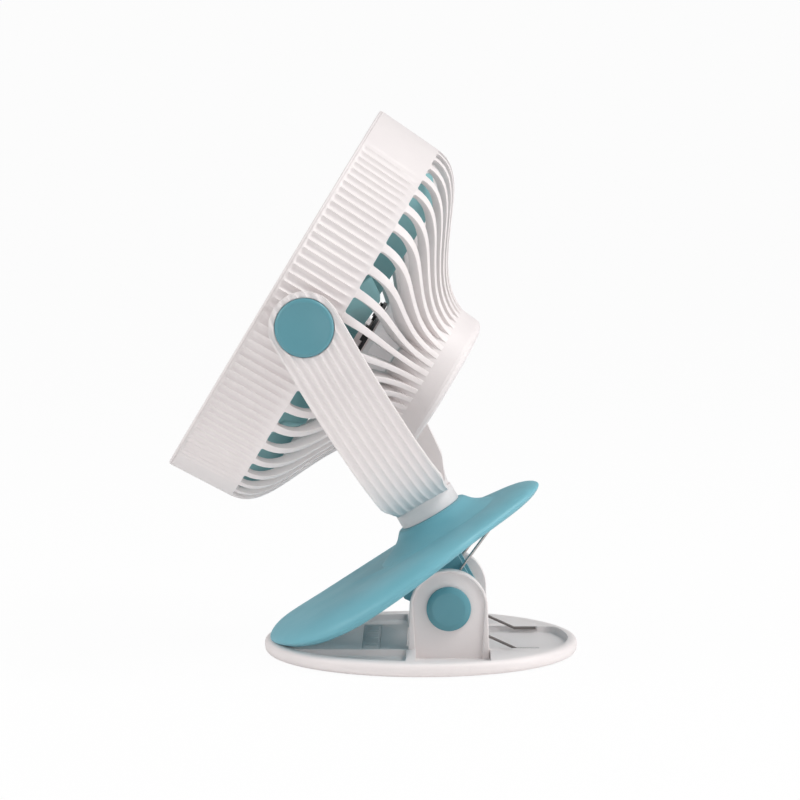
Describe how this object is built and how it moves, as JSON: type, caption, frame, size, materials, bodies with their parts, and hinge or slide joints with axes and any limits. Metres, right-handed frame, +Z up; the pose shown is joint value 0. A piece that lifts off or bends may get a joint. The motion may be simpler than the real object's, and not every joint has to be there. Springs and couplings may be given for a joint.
{
  "type": "clip-on portable fan",
  "caption": "Rechargeable fan with a fluted drum head that tilts in a U-shaped yoke, on a swivelling spring clip whose lower jaw is a round dish foot.",
  "frame": {"origin": "centre of the dish's underside, on the surface the fan stands on", "axes": "+Z up, +X along the closed clip from the jaw's tip to its handle, so the head faces -X and up; +Y is the clip pin's axis"},
  "size_m": [0.1813, 0.195, 0.2405],
  "materials": {
    "white_plastic": "satin",
    "teal_plastic": "satin",
    "pale_rubber": "matt",
    "steel": "satin",
    "dark_fibre": "matt",
    "board_green": "satin",
    "copper_winding": "satin",
    "cell_wrap": "satin",
    "clear_lens": "clear"
  },
  "bodies": {
    "base": {"base_dish": "white_plastic", "base_grip_pad": "pale_rubber", "base_pad": "pale_rubber", "clip_pin": "steel", "pin_cap_near": "teal_plastic", "pin_cap_far": "teal_plastic", "clip_spring": "steel"},
    "jaw": {"clip_jaw": "teal_plastic", "jaw_grip_pad": "pale_rubber", "spring_arms": "steel", "swivel_washer": "steel"},
    "yoke": {"yoke": "white_plastic", "swivel_collar": "white_plastic", "swivel_bolt": "steel", "swivel_nut": "steel", "tilt_washers": "dark_fibre", "pivot_cap_near": "teal_plastic", "pivot_cap_far": "teal_plastic"},
    "head": {"drum_shell": "white_plastic", "rear_guard": "white_plastic", "front_grille": "white_plastic", "grille_cap": "teal_plastic", "tilt_screws": "steel", "motor_housing": "white_plastic", "motor_board": "dark_fibre", "stator": "copper_winding", "bearings": "steel", "battery_cell": "cell_wrap", "control_board": "board_green", "usb_port": "steel", "rear_cover": "white_plastic", "cover_screws": "steel", "charge_light": "clear_lens"},
    "fan": {"impeller": "teal_plastic", "rotor_can": "steel", "motor_shaft": "steel", "spinner_nut": "steel"},
    "button": {"power_button": "teal_plastic"}
  },
  "joints": [
    {"name": "clip_hinge", "type": "hinge", "parent": "base", "child": "jaw", "pos_m": [0.0123, 0, 0.0243], "axis": [0, 1, 0], "range_deg": [0, 30], "stiffness_Nm_per_rad": 1.2, "springref_deg": -45.84},
    {"name": "yoke_swivel", "type": "hinge", "parent": "jaw", "child": "yoke", "pos_m": [0.00443, 0, 0.06209], "axis": [-0.5004, 0, 0.8658], "continuous": true},
    {"name": "head_tilt", "type": "hinge", "parent": "yoke", "child": "head", "pos_m": [-0.04799, 0, 0.15276], "axis": [0, 1, 0], "continuous": true},
    {"name": "fan_spin", "type": "hinge", "parent": "head", "child": "fan", "pos_m": [-0.04799, 0, 0.15276], "axis": [-0.8563, 0, 0.5165], "continuous": true},
    {"name": "button_press", "type": "slide", "parent": "head", "child": "button", "axis": [-0.8563, 0, 0.5165], "range_m": [0, 0.0008], "stiffness_N_per_m": 400, "springref_m": -0.001}
  ]
}
